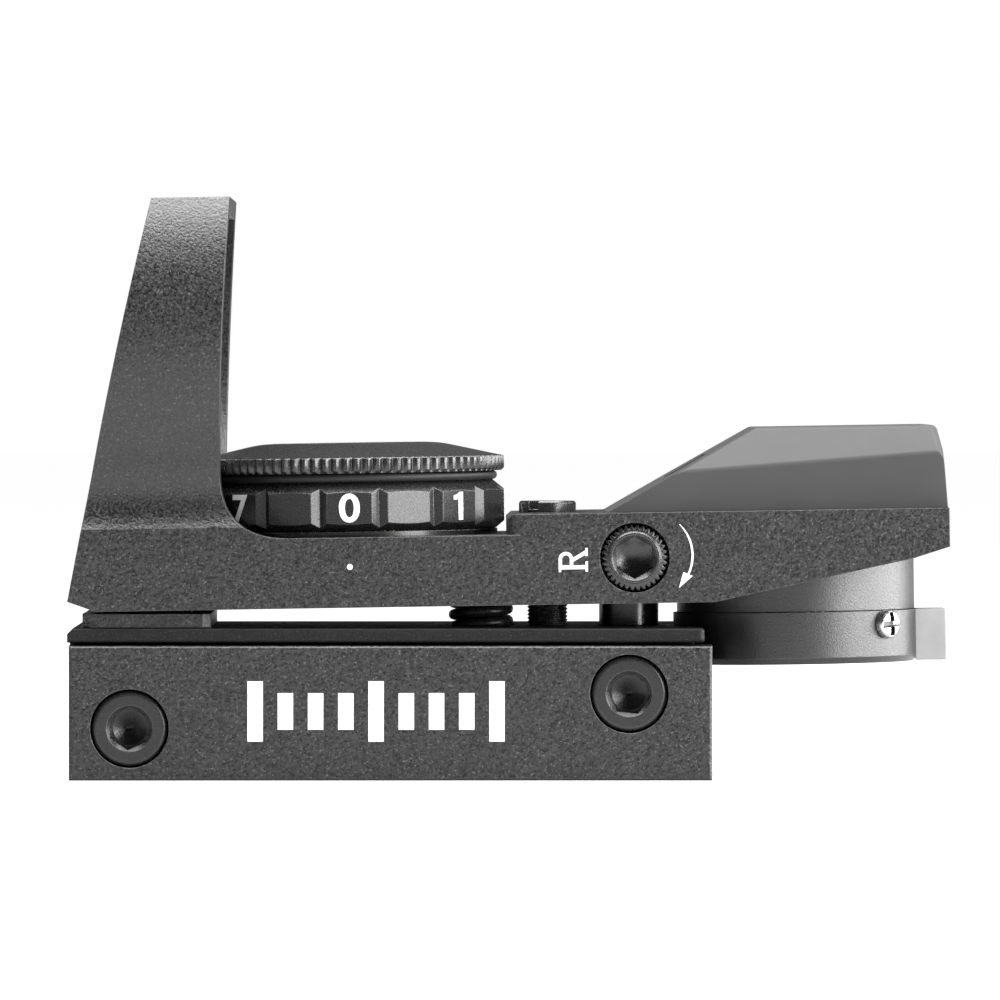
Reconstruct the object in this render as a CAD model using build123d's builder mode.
"""Reflex red dot finder on a rail clamp, as separate pieces in millimetres.

X runs from the lens hood (front) to the emitter (rear), Y from left to right and Z up.
The origin is on the rail's top face, on the centreline, below the front cross bolt's axis.
The optic is modelled level, and leaned back about its tilt pin at the end.
"""

import math
import os

from build123d import *

# ------------------------------------------------------------------ driving dimensions
# Rest pose of the optic on its tilt pin
tilt_rest = 0.9
tilt_x, tilt_z = 1.8, 13.0

# Rail clamp. The jaws hold a 21.2 mm rail with 45 degree bevels.
saddle_front, saddle_rear, saddle_top = -5.8, 53.3, 8.3
saddle_half = 15.9
lip_bottom = 6.95
plate_front, plate_rear, plate_top = -5.64, 54.0, 6.67
plate_outer = 16.5
plate_inner = 8.5
jaw_bottom, jaw_toe, jaw_tip = -5.83, 8.11, 10.75
seat_half = 8.0
plate_gap = 0.2

# Cross bolts of the clamp
bolt_front_x, bolt_front_z = 0.0, -1.0
bolt_rear_x, bolt_rear_z = 46.3, 2.22
bolt_r, bolt_head_r, bolt_head_h, bolt_key = 1.95, 3.5, 4.0, 3.5
running_gap = 0.05

# Adjusters between the clamp and the optic
block_length, block_width, block_top = 11.9, 31.0, 9.6
lug_length, lug_width, lug_top = 7.6, 16.0, 15.2
pivot_r, tilt_pin_r = 1.95, 1.5
spring_x, spring_r, spring_wire, spring_pitch = 32.6, 2.55, 0.5, 1.1
elevation_x, elevation_r, elevation_head_r, elevation_top = 38.85, 1.93, 2.68, 19.95
washer_r, washer_t = 3.3, 0.5
post_x, post_r, post_top = 46.5, 2.8, 17.0

# Main frame, with the optic level
frame_front, frame_rear, frame_bottom, frame_top = -5.8, 76.05, 9.9, 48.15
body_half, flare_z = 16.5, 17.5
hood_r, hood_z, waist_z = 21.0, 35.9, 23.4
hood_front_top, hood_rear_top, hood_rear_low = 2.6, 9.85, 8.5
window_r, window_low, window_high = 17.0, 22.45, 46.45
deck_z, rear_deck_z, step_x = 16.4, 18.3, 35.1
slope_x, slope_rear_x, slope_rear_z, rear_low_z = 54.2, 72.7, 13.68, 14.7

# Brightness dial and battery cap
dial_x, dial_r, dial_low, dial_high = 20.45, 14.48, 16.96, 21.5
rim_r, rim_foot_r, rim_shoulder_r, rim_low, rim_high = 14.9, 13.65, 13.35, 18.0, 20.2
flat_r, flat_half, groove_r, flat_count = 14.42, 2.1, 14.05, 16
stem_r, well_r, well_top, board_floor = 4.5, 7.0, 12.4, 15.6
cap_low, cap_band, cap_top, cap_crown_r = 22.32, 23.73, 25.1, 8.6
thread_r = 12.4
battery_r, battery_t = 10.0, 3.2

# Windage screw, across the body
windage_x, windage_z = 46.83, 14.13
windage_head_r, windage_boss_r, windage_r, windage_key = 3.12, 2.4, 2.0, 3.4

# Emitter end
drum_x, drum_r, drum_low = 62.14, 11.16, 8.76
ring_r, ring_inner_r, ring_low, ring_high = 11.52, 9.9, 3.85, 8.7
light_x, mirror_z = 56.5, 21.2
cover_front, cover_slope_x, cover_top = 44.35, 58.3, 26.0
cover_half, cover_wall = 14.5, 1.3
recess_top = 12.5


# --------------------------------------------------------------------------- helpers
def upright(x, y, radius, low, high, mode=Mode.ADD):
    """A round bar or bore along Z in the part being built."""
    with Locations((x, y, (low + high) / 2)):
        Cylinder(radius, high - low, mode=mode)


def crosswise(x, z, radius, left, right, mode=Mode.ADD):
    """A round bar or bore along Y in the part being built."""
    with Locations((x, (left + right) / 2, z)):
        Cylinder(radius, right - left, rotation=(90, 0, 0), mode=mode)


def block(x_range, y_range, z_range, mode=Mode.ADD):
    """A square block or pocket between two limits on each axis."""
    limits = (x_range, y_range, z_range)
    middle = [(low + high) / 2 for low, high in limits]
    size = [high - low for low, high in limits]
    with Locations(tuple(middle)):
        Box(*size, mode=mode)


def side_plane(x):
    """The XZ plane with its origin at x, for profiles that turn about an upright axis."""
    return Plane(origin=(x, 0, 0), x_dir=(1, 0, 0), z_dir=(0, -1, 0))


def key_socket(x, z, face, key, turn, depth):
    """Cuts a hexagon socket, with its lead-in cone and drill point, into a face towards -Y."""
    with BuildSketch(Plane.XZ.offset(-face)) as socket:
        with Locations((x, z)):
            RegularPolygon(key / 2, 6, major_radius=False, rotation=turn)
    extrude(socket.sketch, amount=-depth, mode=Mode.SUBTRACT)
    with Locations((x, face + 0.2, z)):
        Cone(key / 2, key / 2 + 0.4, 0.4, rotation=(90, 0, 0), mode=Mode.SUBTRACT)
    with Locations((x, face + depth + 0.4, z)):
        Cone(0, key / 2 - 0.15, 0.8, rotation=(90, 0, 0), mode=Mode.SUBTRACT)


def cross_bolt(x, z, turn):
    """Socket head cross bolt: head in the near plate, shank through to the far jaw."""
    head_face = -(plate_outer - 0.2)
    with BuildPart() as bolt:
        crosswise(x, z, bolt_head_r, head_face, head_face + bolt_head_h)
        fillet(bolt.faces().sort_by(Axis.Y)[0].edges(), 0.45)
        crosswise(x, z, bolt_r, head_face + bolt_head_h, saddle_half - 0.5)
        chamfer(bolt.faces().sort_by(Axis.Y)[-1].edges(), 0.4)
        key_socket(x, z, head_face, bolt_key, turn, 2.2)
    return bolt


def coil_spring(start, direction, radius, wire, pitch, length):
    """A round wire coil spring from a start point along a direction."""
    with BuildPart() as spring:
        with BuildLine() as coil:
            Helix(pitch, length, radius, center=start, direction=direction)
        with BuildSketch(Plane(origin=coil.line @ 0, z_dir=coil.line % 0)) as section:
            Circle(wire)
        sweep(section.sketch, path=coil.line, is_frenet=True)
    return spring


# ---------------------------------------------------------------------- rail clamp
with BuildPart() as rail_saddle:
    with BuildSketch(Plane.YZ.offset(saddle_front)):
        with BuildLine():
            Polyline(
                (-saddle_half, saddle_top),
                (saddle_half, saddle_top),
                (saddle_half, jaw_bottom),
                (jaw_toe, jaw_bottom),
                (jaw_tip, jaw_bottom + jaw_tip - jaw_toe),
                (jaw_tip, seat_half - jaw_tip),
                (seat_half, 0),
                (-plate_inner + plate_gap, 0),
                (-plate_inner + plate_gap, lip_bottom),
                (-saddle_half, lip_bottom),
                close=True,
            )
        make_face()
    extrude(amount=saddle_rear - saddle_front)
    top_edges = rail_saddle.faces().sort_by(Axis.Z)[-1].edges()
    chamfer(top_edges.sort_by(Axis.X)[0], 0.55)
    fillet(rail_saddle.faces().sort_by(Axis.X)[-1].edges().filter_by(Axis.Z).sort_by(Axis.Y)[0], 0.5)
    outer_edges = rail_saddle.edges().filter_by(Axis.X).group_by(Axis.Y)
    fillet(outer_edges[0] + outer_edges[-1], 0.3)
    # Room for the selector drum, which hangs behind the clamp
    upright(drum_x + 0.1, 0, ring_r + 1.3, jaw_bottom - 1, saddle_top + 1, mode=Mode.SUBTRACT)
    # Cross bolts: the front one lies half in the seat, where it fits a slot of the rail
    crosswise(bolt_front_x, bolt_front_z, bolt_r + running_gap, -seat_half - 2, saddle_half + 1,
              mode=Mode.SUBTRACT)
    crosswise(bolt_rear_x, bolt_rear_z, bolt_r + running_gap, -seat_half - 2, saddle_half + 1,
              mode=Mode.SUBTRACT)
    # Pivot screw from below, lift spring pocket, elevation thread and post socket from above
    upright(tilt_x, 0, 3.9, -1, 3.8, mode=Mode.SUBTRACT)
    upright(tilt_x, 0, pivot_r + running_gap, 0, saddle_top + 1, mode=Mode.SUBTRACT)
    upright(spring_x, 0, spring_r + spring_wire + 0.35, 6.3, saddle_top + 1, mode=Mode.SUBTRACT)
    upright(elevation_x, 0, elevation_r + running_gap, -1, saddle_top + 1, mode=Mode.SUBTRACT)
    upright(post_x, 0, 2.0, 4.6, saddle_top + 1, mode=Mode.SUBTRACT)

with BuildPart() as clamp_plate:
    with BuildSketch(Plane.YZ.offset(plate_front)):
        with BuildLine():
            Polyline(
                (-plate_outer, plate_top),
                (-plate_inner, plate_top),
                (-plate_inner, seat_half - plate_inner),
                (-jaw_tip, seat_half - jaw_tip),
                (-jaw_tip, jaw_bottom + jaw_tip - jaw_toe),
                (-jaw_toe, jaw_bottom),
                (-plate_outer, jaw_bottom),
                close=True,
            )
        make_face()
    extrude(amount=plate_rear - plate_front)
    fillet(clamp_plate.faces().sort_by(Axis.Y)[0].edges(), 0.3)
    upright(drum_x + 0.1, 0, ring_r + 1.3, jaw_bottom - 1, plate_top + 1, mode=Mode.SUBTRACT)
    for bolt_x, bolt_z in ((bolt_front_x, bolt_front_z), (bolt_rear_x, bolt_rear_z)):
        crosswise(bolt_x, bolt_z, bolt_head_r + 0.15, -plate_outer - 1,
                  -plate_outer + bolt_head_h + 0.2, mode=Mode.SUBTRACT)
        crosswise(bolt_x, bolt_z, bolt_r + running_gap, -plate_outer, 0, mode=Mode.SUBTRACT)

front_cross_bolt = cross_bolt(bolt_front_x, bolt_front_z, 25)
rear_cross_bolt = cross_bolt(bolt_rear_x, bolt_rear_z, -6)

# ------------------------------------------------------------------ pivot and adjusters
with BuildPart() as windage_post:
    upright(post_x, 0, post_r, saddle_top, post_top)
    chamfer(windage_post.faces().sort_by(Axis.Z)[-1].edges(), 0.4)
    upright(post_x, 0, 2.0, 4.7, saddle_top)

block_middle = tilt_x - 0.25
with BuildPart() as pivot_block:
    block((block_middle - block_length / 2, block_middle + block_length / 2),
          (-block_width / 2, block_width / 2), (saddle_top + 0.05, block_top))
    chamfer(pivot_block.edges().filter_by(Axis.Z), 0.7)
    block((tilt_x - lug_length / 2, tilt_x + lug_length / 2),
          (-lug_width / 2, lug_width / 2), (block_top, lug_top))
    crosswise(tilt_x, tilt_z, tilt_pin_r + 0.03, -lug_width, lug_width, mode=Mode.SUBTRACT)
    upright(tilt_x, 0, pivot_r, saddle_top, 11.2, mode=Mode.SUBTRACT)

with BuildPart() as pivot_screw:
    upright(tilt_x, 0, pivot_r, 3.2, 11.1)
    upright(tilt_x, 0, 3.3, 1.5, 3.2)
    with BuildSketch(Plane.XY.offset(1.5)) as pivot_key:
        with Locations((tilt_x, 0)):
            RegularPolygon(1.25, 6, major_radius=False)
    extrude(pivot_key.sketch, amount=1.2, mode=Mode.SUBTRACT)

with BuildPart() as pivot_washer:
    upright(tilt_x, 0, 3.5, 3.2, 3.7)
    upright(tilt_x, 0, pivot_r, 3.0, 4.0, mode=Mode.SUBTRACT)

with BuildPart() as tilt_pin:
    crosswise(tilt_x, tilt_z, tilt_pin_r, -11.9, body_half - 0.4)
    chamfer(tilt_pin.faces().sort_by(Axis.Y)[-1].edges(), 0.3)

lift_spring = coil_spring((spring_x, 0, 6.9), (0, 0, 1), spring_r, spring_wire, spring_pitch, 5.5)

with BuildPart() as elevation_washer:
    upright(elevation_x, 0, washer_r, 16.4, 16.4 + washer_t)
    upright(elevation_x, 0, elevation_r + running_gap, 16, 17.5, mode=Mode.SUBTRACT)

with BuildPart() as elevation_screw:
    upright(elevation_x, 0, elevation_r, 3.4, 16.4 + washer_t)
    chamfer(elevation_screw.faces().sort_by(Axis.Z)[0].edges(), 0.3)
    upright(elevation_x, 0, elevation_head_r, 16.4 + washer_t, elevation_top)
    chamfer(elevation_screw.faces().sort_by(Axis.Z)[-1].edges(), 0.2)
    with BuildSketch(Plane(origin=(elevation_x, 0, elevation_top))) as driver_slot:
        Rectangle(6.0, 1.0, rotation=60)
    extrude(driver_slot.sketch, amount=-0.8, mode=Mode.SUBTRACT)

# ------------------------------------------------------------------------- main frame
hood_flat = math.sqrt(hood_r**2 - (frame_top - hood_z) ** 2)
waist_half = math.sqrt(hood_r**2 - (hood_z - waist_z) ** 2)
with BuildPart() as main_frame:
    # Seen from the front: a flat-topped barrel that flares into the straight body sides
    with BuildSketch(Plane.YZ.offset(frame_front)):
        with BuildLine():
            Line((0, frame_top), (hood_flat, frame_top))
            barrel = ThreePointArc((hood_flat, frame_top), (hood_r, hood_z), (waist_half, waist_z))
            TangentArc((waist_half, waist_z), (body_half, flare_z), tangent=barrel % 1)
            Line((body_half, flare_z), (body_half, frame_bottom))
            Line((body_half, frame_bottom), (0, frame_bottom))
            mirror(about=Plane.YZ)
        make_face()
    extrude(amount=frame_rear - frame_front)
    # Seen from the side: the leaning hood, the dial deck, the rear deck and the belly slope
    with BuildSketch(Plane.XZ) as side_view:
        with BuildLine():
            ThreePointArc((frame_front, 10.86), (-1.8, 29.5), (hood_front_top, frame_top))
            Line((hood_front_top, frame_top), (hood_rear_top, frame_top))
            ThreePointArc((hood_rear_top, frame_top), (8.98, 35.5), (hood_rear_low, 22.6))
            Spline((hood_rear_low, 22.6), (9.35, 18.8), (14.8, deck_z), tangents=((0, -1), (1, 0)))
            Polyline((14.8, deck_z), (step_x, deck_z), (step_x, rear_deck_z - 0.4),
                     (step_x + 0.5, rear_deck_z), (frame_rear, rear_deck_z), (frame_rear, rear_low_z),
                     (slope_rear_x, slope_rear_z), (slope_x, frame_bottom), (-3.2, frame_bottom),
                     (frame_front, 10.86))
        make_face()
    extrude(side_view.sketch, amount=hood_r + 1, both=True, mode=Mode.INTERSECT)
    # The rear deck keeps its straight sides up to its top
    with BuildSketch(Plane.XZ) as deck_step:
        with BuildLine():
            Polyline((step_x, deck_z), (step_x, rear_deck_z - 0.4), (step_x + 0.5, rear_deck_z),
                     (frame_rear, rear_deck_z), (frame_rear, deck_z), close=True)
        make_face()
    extrude(deck_step.sketch, amount=body_half, both=True)
    # Rounded upright corners where the rear deck steps up
    step_edges = main_frame.edges().filter_by(Axis.Z).filter_by_position(Axis.X, step_x - 0.01, step_x + 0.01)
    fillet(step_edges, 1.4)
    # Lens window through the hood
    with BuildSketch(Plane.YZ.offset(frame_front - 1)) as window:
        with Locations((0, hood_z)):
            Circle(window_r)
        with Locations((0, (window_low + window_high) / 2)):
            Rectangle(2 * window_r, window_high - window_low, mode=Mode.INTERSECT)
    extrude(window.sketch, amount=hood_rear_top - frame_front + 2, mode=Mode.SUBTRACT)
    # Sweep of the dial and of the cap above it
    upright(dial_x, 0, dial_r + 0.45, deck_z, 30, mode=Mode.SUBTRACT)
    # Dial: switch board recess, stem bore and the well for its circlip
    upright(dial_x, 0, 10.8, board_floor, deck_z + 1, mode=Mode.SUBTRACT)
    upright(dial_x, 0, stem_r + running_gap, well_top, deck_z, mode=Mode.SUBTRACT)
    upright(dial_x, 0, well_r, frame_bottom - 1, well_top, mode=Mode.SUBTRACT)
    upright(dial_x + 12.3, 0, 1.05, 12.0, deck_z + 1, mode=Mode.SUBTRACT)
    # Pivot lug pocket and tilt pin bore
    block((tilt_x - lug_length / 2 - 0.8, tilt_x + lug_length / 2 + 0.8),
          (-lug_width / 2 - 0.4, lug_width / 2 + 0.4), (frame_bottom - 1, 16.0), mode=Mode.SUBTRACT)
    crosswise(tilt_x, tilt_z, tilt_pin_r, -12.0, body_half + 1, mode=Mode.SUBTRACT)
    # Lift spring pocket, elevation screw bore and its washer seat
    upright(spring_x, 0, 3.9, frame_bottom - 1, 12.6, mode=Mode.SUBTRACT)
    upright(elevation_x, 0, 2.9, frame_bottom - 1, rear_deck_z + 1, mode=Mode.SUBTRACT)
    upright(elevation_x, 0, 4.2, board_floor, rear_deck_z + 1, mode=Mode.SUBTRACT)
    # Windage slot with the cross bores of its screw and plunger
    block((post_x - 3.4, post_x + 3.4), (-3.9, 3.9), (frame_bottom - 1, 17.8), mode=Mode.SUBTRACT)
    crosswise(windage_x, windage_z, windage_head_r + 0.12, -body_half - 1, -body_half + 3.0,
              mode=Mode.SUBTRACT)
    crosswise(windage_x, windage_z, windage_r + running_gap, -body_half, 12.0, mode=Mode.SUBTRACT)
    crosswise(windage_x, windage_z, 2.5, 12.0, body_half + 1, mode=Mode.SUBTRACT)
    # Emitter recess, light shaft and axle bore
    upright(drum_x, 0, 9.8, 5, recess_top, mode=Mode.SUBTRACT)
    upright(light_x, 0, 2.0, recess_top - 1, rear_deck_z + 1, mode=Mode.SUBTRACT)
    upright(drum_x, 0, 3.0, recess_top - 1, 14.5, mode=Mode.SUBTRACT)
    for side in (-1, 1):
        upright(72.0, side * 11.5, 2.0, 9, 15.4, mode=Mode.SUBTRACT)
        upright(72.0, side * 11.5, 1.0, 15, rear_deck_z + 1, mode=Mode.SUBTRACT)

with BuildPart() as well_cover:
    upright(dial_x, 0, well_r - 0.03, frame_bottom, frame_bottom + 0.8)
    for side in (-1, 1):
        upright(dial_x + side * 4.5, 0, 0.6, frame_bottom - 1, frame_bottom + 0.5, mode=Mode.SUBTRACT)

# ------------------------------------------------------------------------ objective lens
lens_lean = 7.5
lens_radius = 130.0
lens_t, lens_rim_w, lens_rim_t = 2.2, 1.1, 1.0
lens_x, lens_z = 4.2, (window_low + window_high) / 2


def window_slab(inset, front, rear, hole=None):
    """A leaning slab that fills the window, between two distances along the lens axis."""
    lens_plane = Plane(origin=(lens_x, 0, lens_z), x_dir=(0, 1, 0),
                       z_dir=(math.cos(math.radians(lens_lean)), 0, -math.sin(math.radians(lens_lean))))
    with BuildPart() as slab:
        with BuildSketch(Plane.YZ.offset(lens_x - 8)) as outline:
            with Locations((0, hood_z)):
                Circle(window_r - inset)
            with Locations((0, lens_z)):
                Rectangle(2 * window_r, window_high - window_low - 2 * inset, mode=Mode.INTERSECT)
            if hole:
                with Locations((0, hood_z)):
                    inner = Circle(window_r - hole, mode=Mode.PRIVATE)
                height = window_high - window_low - 2 * hole
                with Locations((0, lens_z)):
                    cut = Rectangle(2 * window_r, height, mode=Mode.PRIVATE)
                add(inner & cut, mode=Mode.SUBTRACT)
        extrude(outline.sketch, amount=16)
        split(bisect_by=lens_plane.offset(rear), keep=Keep.BOTTOM)
        split(bisect_by=lens_plane.offset(front), keep=Keep.TOP)
    return slab


with BuildPart() as objective_lens:
    add(window_slab(0.06, -2.0, 3.0).part)
    for shift, mode in ((lens_t / 2, Mode.INTERSECT), (-lens_t / 2, Mode.SUBTRACT)):
        lean = math.radians(lens_lean)
        reach = lens_radius - shift
        with Locations((lens_x - reach * math.cos(lean), 0, lens_z + reach * math.sin(lean))):
            Sphere(lens_radius, mode=mode)

lens_retainer = window_slab(0.02, -lens_t / 2 - 1.15 - lens_rim_t, -lens_t / 2 - 1.15, hole=lens_rim_w)
lens_gasket = window_slab(0.02, lens_t / 2 + 0.05, lens_t / 2 + 0.05 + lens_rim_t, hole=lens_rim_w)

# ---------------------------------------------------------------- dial, battery and cap
with BuildPart() as dial_base:
    upright(dial_x, 0, 13.75, deck_z, dial_low - 0.06)
    upright(dial_x, 0, 10.9, deck_z - 1, dial_low + 1, mode=Mode.SUBTRACT)
    upright(dial_x + 12.3, 0, 1.05, deck_z - 1, dial_low + 1, mode=Mode.SUBTRACT)

with BuildPart() as switch_board:
    upright(dial_x, 0, 10.7, board_floor, board_floor + 0.75)
    upright(dial_x, 0, stem_r + 0.4, board_floor - 1, deck_z + 1, mode=Mode.SUBTRACT)

with BuildPart() as brightness_dial:
    with BuildSketch(side_plane(dial_x)):
        with BuildLine():
            Polyline((0, dial_low), (rim_foot_r, dial_low), (rim_r, rim_low), (rim_r, rim_high),
                     (rim_shoulder_r, dial_high), (thread_r, dial_high), (thread_r, 19.9),
                     (10.3, 19.9), (10.3, 18.0), (0, 18.0), close=True)
        make_face()
    revolve(axis=Axis((dial_x, 0, 0), (0, 0, 1)))
    upright(dial_x, 0, stem_r, 12.3, dial_low)
    upright(dial_x, 0, 3.8, 11.2, 12.3)
    # Sixteen flats with upright grooves between them, every second one for a setting
    outline = []
    for flat in range(flat_count):
        turn = 360 / flat_count * flat - 90
        outline += [Vector(flat_r, side * flat_half).rotate(Axis.Z, turn) for side in (-1, 1)]
        outline.append(Vector(groove_r, 0).rotate(Axis.Z, turn + 180 / flat_count))
    with BuildSketch(Plane.XY.offset(dial_low - 6)):
        with Locations((dial_x, 0)):
            Polygon(*[(corner.X, corner.Y) for corner in outline], align=None)
    extrude(amount=dial_high - dial_low + 8, mode=Mode.INTERSECT)
    # Dimples for the click ball
    with Locations((dial_x, 0, 0)):
        with PolarLocations(12.3, 8):
            with Locations((0, 0, dial_low + 0.45)):
                Sphere(1.1, mode=Mode.SUBTRACT)

with BuildPart() as dial_circlip:
    upright(dial_x, 0, 6.2, 11.4, 12.2)
    upright(dial_x, 0, 3.8, 11, 13, mode=Mode.SUBTRACT)
    block((dial_x + 2, dial_x + 8), (-1.2, 1.2), (11, 13), mode=Mode.SUBTRACT)

with BuildPart() as dial_wiper:
    upright(dial_x, 0, 9.2, dial_low - 0.2, dial_low)
    upright(dial_x, 0, 5.4, dial_low - 1, dial_low + 1, mode=Mode.SUBTRACT)
    with Locations((dial_x, 0, dial_low - 0.3)):
        with PolarLocations(8.0, 3):
            Cylinder(0.6, 0.3)

with BuildPart() as dial_click_ball:
    with Locations((dial_x + 12.3, 0, 15.85)):
        Sphere(1.0)

dial_click_spring = coil_spring((dial_x + 12.3, 0, 12.2), (0, 0, 1), 0.7, 0.15, 0.65, 2.5)

with BuildPart() as battery_contact:
    upright(dial_x, 0, 4.0, 18.0, 18.2)
    block((dial_x - 9.6, dial_x), (-1.5, 1.5), (18.0, 18.2))

with BuildPart() as battery:
    upright(dial_x, 0, battery_r, 18.2, 18.2 + battery_t - 0.4)
    upright(dial_x, 0, battery_r - 0.9, 18.2, 18.2 + battery_t)
    fillet(battery.faces().sort_by(Axis.Z)[0].edges(), 0.15)

with BuildPart() as cap_seal:
    with Locations((dial_x, 0, dial_high + 0.41)):
        Torus(13.4, 0.4)

with BuildPart() as battery_cap:
    with BuildSketch(side_plane(dial_x)):
        with BuildLine():
            Polyline((10.6, 20.3), (thread_r - 0.1, 20.3), (thread_r - 0.1, cap_low), (dial_r - 0.3, cap_low),
                     (dial_r, cap_low + 0.3), (dial_r, cap_band), (cap_crown_r + 0.9, cap_top - 0.25))
            Line((cap_crown_r + 0.9, cap_top - 0.25), (cap_crown_r - 0.6, cap_top))
            Polyline((cap_crown_r - 0.6, cap_top), (0, cap_top), (0, 23.2), (10.6, 23.2), (10.6, 20.3))
        make_face()
    revolve(axis=Axis((dial_x, 0, 0), (0, 0, 1)))
    with BuildSketch(Plane(origin=(dial_x, 0, cap_top))) as coin_slot:
        SlotOverall(13.0, 1.8, rotation=20)
    extrude(coin_slot.sketch, amount=-1.0, mode=Mode.SUBTRACT)

# --------------------------------------------------------------------- windage adjuster
with BuildPart() as windage_screw:
    crosswise(windage_x, windage_z, windage_head_r, -16.35, -14.5)
    crosswise(windage_x, windage_z, windage_boss_r, -16.7, -16.35)
    chamfer(windage_screw.faces().sort_by(Axis.Y)[0].edges(), 0.15)
    crosswise(windage_x, windage_z, windage_r, -14.5, -5.2)
    key_socket(windage_x, windage_z, -16.7, windage_key, 30, 2.6)

with BuildPart() as windage_pad:
    crosswise(windage_x, windage_z, 1.95, -5.15, -2.95)

with BuildPart() as windage_plunger:
    crosswise(windage_x, windage_z, 1.95, 2.95, 6.4)
    chamfer(windage_plunger.faces().sort_by(Axis.Y)[0].edges(), 0.3)

windage_spring = coil_spring((windage_x, 6.75, windage_z), (0, 1, 0), 1.45, 0.25, 0.8, 4.8)

with BuildPart() as windage_plug:
    crosswise(windage_x, windage_z, 2.48, 12.0, body_half - 0.5)
    with BuildSketch(Plane.XZ.offset(-body_half + 0.5)) as plug_hex:
        with Locations((windage_x, windage_z)):
            RegularPolygon(1.25, 6, major_radius=False)
    extrude(plug_hex.sketch, amount=2.0, mode=Mode.SUBTRACT)

# -------------------------------------------------------------------------- emitter end
cover_slope = math.atan2(cover_top - rear_deck_z, cover_slope_x - cover_front)
crease_front = Vector(52.2, 0, 22.06)
crease_rear = Vector(75.8, 0, 23.55)
flank_lean = math.radians(40)
with BuildPart() as emitter_cover:
    with BuildSketch(Plane.XZ) as cover_side:
        with BuildLine():
            Polyline((cover_front, rear_deck_z), (cover_slope_x, cover_top), (75.1, cover_top),
                     (75.65, 23.6), (76.0, rear_deck_z), close=True)
        make_face()
    extrude(cover_side.sketch, amount=cover_half, both=True)
    # Upper flanks lean inward above the side creases
    for side in (-1, 1):
        along = (crease_rear - crease_front).normalized()
        inward = Vector(0, -side * math.sin(flank_lean), math.cos(flank_lean))
        outward = along.cross(inward) * -side
        origin = crease_front + Vector(0, side * cover_half, 0)
        split(bisect_by=Plane(origin=origin, z_dir=outward), keep=Keep.BOTTOM)
    fillet(emitter_cover.edges().filter_by_position(Axis.Z, 21.5, 27.0), 0.7)
    offset(amount=-cover_wall, openings=emitter_cover.faces().sort_by(Axis.Z)[0])
    # Light window in the front slope
    slope_normal = (-math.sin(cover_slope), 0, math.cos(cover_slope))
    window_plane = Plane(origin=(51.8, 0, 22.4), x_dir=(0, 1, 0), z_dir=slope_normal)
    with BuildSketch(window_plane) as light_window:
        RectangleRounded(6.5, 4.6, 0.6)
    extrude(light_window.sketch, amount=3, both=True, mode=Mode.SUBTRACT)
    # Screw bosses
    for side in (-1, 1):
        upright(72.0, side * 11.5, 2.0, rear_deck_z, 22.5)
        upright(72.0, side * 11.5, 1.0, rear_deck_z, 21.5, mode=Mode.SUBTRACT)

with BuildPart() as emitter_window:
    with BuildSketch(window_plane.offset(-cover_wall + 0.1)) as pane:
        RectangleRounded(6.44, 4.54, 0.6)
    extrude(pane.sketch, amount=0.9)

mirror_normal = (-0.794, 0, -0.609)
mirror_plane = Plane(origin=(light_x, 0, mirror_z), x_dir=(0, 1, 0), z_dir=mirror_normal)
with BuildPart() as mirror_plate:
    with BuildSketch(mirror_plane):
        Rectangle(6.0, 3.4)
    extrude(amount=-0.7)

with BuildPart() as mirror_mount:
    with BuildSketch(Plane.XZ) as mount_side:
        with BuildLine():
            Polyline((59.0, rear_deck_z), (64.0, rear_deck_z), (64.0, 19.6), (57.2, 22.9),
                     (56.1, 22.9), close=True)
        make_face()
    extrude(mount_side.sketch, amount=3.0, both=True)
    split(bisect_by=mirror_plane.offset(-0.7), keep=Keep.BOTTOM)

with BuildPart() as cover_screws:
    for side in (-1, 1):
        upright(72.0, side * 11.5, 1.8, 14.1, 15.4)
        upright(72.0, side * 11.5, 1.0, 15.4, 21.0)
        block((72.0 - 0.3, 72.0 + 0.3), (side * 11.5 - 1.4, side * 11.5 + 1.4), (14.0, 14.7),
              mode=Mode.SUBTRACT)

with BuildPart() as emitter_housing:
    upright(drum_x, 0, drum_r, drum_low, rear_low_z)
    # Its upper edge follows the belly of the main frame
    with BuildSketch(Plane.XZ) as under_belly:
        with BuildLine():
            Polyline((slope_x - 5, drum_low), (slope_x - 5, frame_bottom), (slope_x, frame_bottom),
                     (slope_rear_x, slope_rear_z), (frame_rear, rear_low_z), (frame_rear, drum_low),
                     close=True)
        make_face()
    extrude(under_belly.sketch, amount=drum_r + 1, both=True, mode=Mode.INTERSECT)
    upright(drum_x, 0, 9.8, drum_low - 1, rear_low_z + 1, mode=Mode.SUBTRACT)

with BuildPart() as selector_axle:
    upright(drum_x, 0, 3.0, 5.15, 14.4)
    upright(drum_x, 0, 1.4, 5, 15, mode=Mode.SUBTRACT)

with BuildPart() as selector_ring:
    upright(drum_x, 0, ring_r, ring_low, ring_high)
    chamfer(selector_ring.faces().sort_by(Axis.Z)[0].edges(), 0.6)
    upright(drum_x, 0, ring_inner_r, 5.85, ring_high + 1, mode=Mode.SUBTRACT)
    upright(drum_x, 0, 3.05, ring_low - 1, 7, mode=Mode.SUBTRACT)
    upright(drum_x, 0, 4.7, ring_low - 1, 5.05, mode=Mode.SUBTRACT)
    for turn in (-45, 45):
        with Locations(Location((drum_x, 0, 7.46), (0, 0, turn))):
            with Locations((ring_r - 0.8, 0, 0)):
                Cylinder(0.7, 3.0, rotation=(0, 90, 0), mode=Mode.SUBTRACT)
            with Locations((ring_r + 0.42, 0, 0)):
                Cylinder(1.4, 1.0, rotation=(0, 90, 0), mode=Mode.SUBTRACT)

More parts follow.
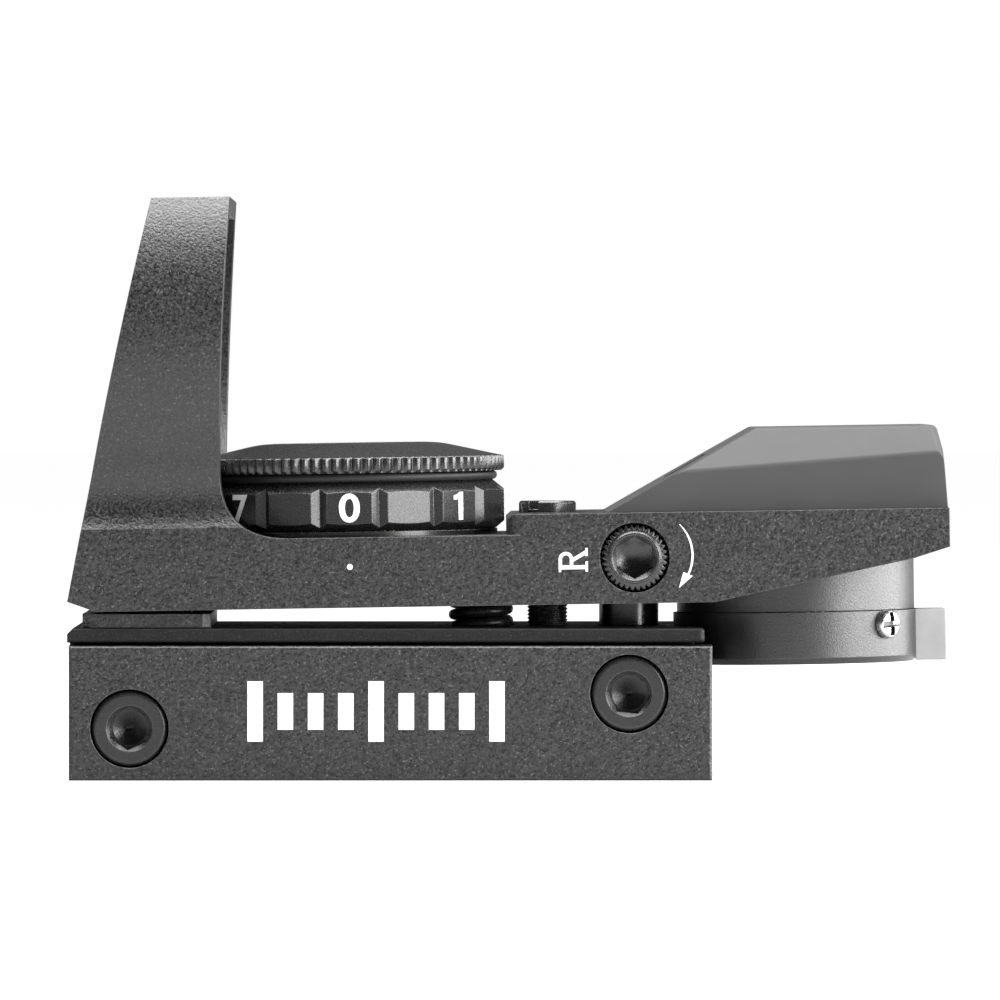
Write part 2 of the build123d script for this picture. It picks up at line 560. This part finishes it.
with BuildPart() as selector_lever:
    block((drum_x + 10, 76.3), (-3.0, 3.0), (3.9, ring_high))
    fillet(selector_lever.faces().sort_by(Axis.X)[-1].edges(), 0.3)
    upright(drum_x, 0, ring_r, 3, 10, mode=Mode.SUBTRACT)

with BuildPart() as selector_screws:
    for turn in (-45, 45):
        with Locations(Location((drum_x, 0, 7.46), (0, 0, turn))):
            with Locations((ring_r - 0.75, 0, 0)):
                Cylinder(0.7, 1.34, rotation=(0, 90, 0))
            with Locations((ring_r + 0.42, 0, 0)):
                Cylinder(1.3, 1.0, rotation=(0, 90, 0))
            with Locations((ring_r + 0.92, 0, 0)):
                Box(0.8, 0.4, 1.7, mode=Mode.SUBTRACT)
                Box(0.8, 1.7, 0.4, mode=Mode.SUBTRACT)

with BuildPart() as reticle_disc:
    upright(drum_x, 0, ring_inner_r, 7.9, 8.4)
    upright(drum_x, 0, 3.4, 7, 9, mode=Mode.SUBTRACT)
    for turn in (150, 180, 210, 240):
        with Locations(Location((drum_x, 0, 8.15), (0, 0, turn))):
            with Locations((drum_x - light_x, 0, 0)):
                Cylinder(0.8, 1.0, mode=Mode.SUBTRACT)

with BuildPart() as selector_washer:
    upright(drum_x, 0, 4.5, 4.85, 5.05)
    upright(drum_x, 0, 1.5, 4, 6, mode=Mode.SUBTRACT)

with BuildPart() as selector_screw:
    upright(drum_x, 0, 4.1, 4.0, 4.85)
    upright(drum_x, 0, 1.4, 4.85, 7.4)
    block((drum_x - 0.5, drum_x + 0.5), (-2.6, 2.6), (3.9, 4.4), mode=Mode.SUBTRACT)

with BuildPart() as led_board:
    block((light_x - 2.0, drum_x + 4.6), (-4.0, 4.0), (6.4, 7.1))
    upright(drum_x, 0, 3.0, 6, 8, mode=Mode.SUBTRACT)

with BuildPart() as led:
    block((light_x - 1.0, light_x + 1.0), (-0.8, 0.8), (7.1, 7.4))
    upright(light_x, 0, 0.7, 7.4, 7.65)

# ---------------------------------------------------------------------------- finish
optic_pieces = {
    "main_frame": main_frame, "well_cover": well_cover, "tilt_pin": tilt_pin,
    "objective_lens": objective_lens, "lens_retainer": lens_retainer, "lens_gasket": lens_gasket,
    "dial_base": dial_base, "switch_board": switch_board, "brightness_dial": brightness_dial,
    "dial_circlip": dial_circlip, "dial_wiper": dial_wiper, "dial_click_ball": dial_click_ball,
    "dial_click_spring": dial_click_spring, "battery_contact": battery_contact, "battery": battery,
    "cap_seal": cap_seal, "battery_cap": battery_cap, "windage_screw": windage_screw,
    "windage_pad": windage_pad, "windage_plunger": windage_plunger, "windage_spring": windage_spring,
    "windage_plug": windage_plug, "emitter_cover": emitter_cover, "emitter_window": emitter_window,
    "mirror_plate": mirror_plate, "mirror_mount": mirror_mount, "cover_screws": cover_screws,
    "emitter_housing": emitter_housing, "selector_axle": selector_axle, "selector_ring": selector_ring,
    "selector_lever": selector_lever, "selector_screws": selector_screws, "reticle_disc": reticle_disc,
    "selector_washer": selector_washer, "selector_screw": selector_screw, "led_board": led_board,
    "led": led,
}
base_pieces = {
    "rail_saddle": rail_saddle, "clamp_plate": clamp_plate, "front_cross_bolt": front_cross_bolt,
    "rear_cross_bolt": rear_cross_bolt, "windage_post": windage_post, "pivot_block": pivot_block,
    "pivot_screw": pivot_screw, "pivot_washer": pivot_washer, "lift_spring": lift_spring,
    "elevation_washer": elevation_washer, "elevation_screw": elevation_screw,
}

tilt_axis = Axis((tilt_x, 0, tilt_z), (0, 1, 0))
for piece in optic_pieces.values():
    piece.part = piece.part.rotate(tilt_axis, -tilt_rest)

os.makedirs("parts", exist_ok=True)
for name, piece in {**base_pieces, **optic_pieces}.items():
    piece.part.label = name
    export_step(piece.part, f"parts/{name}.step")
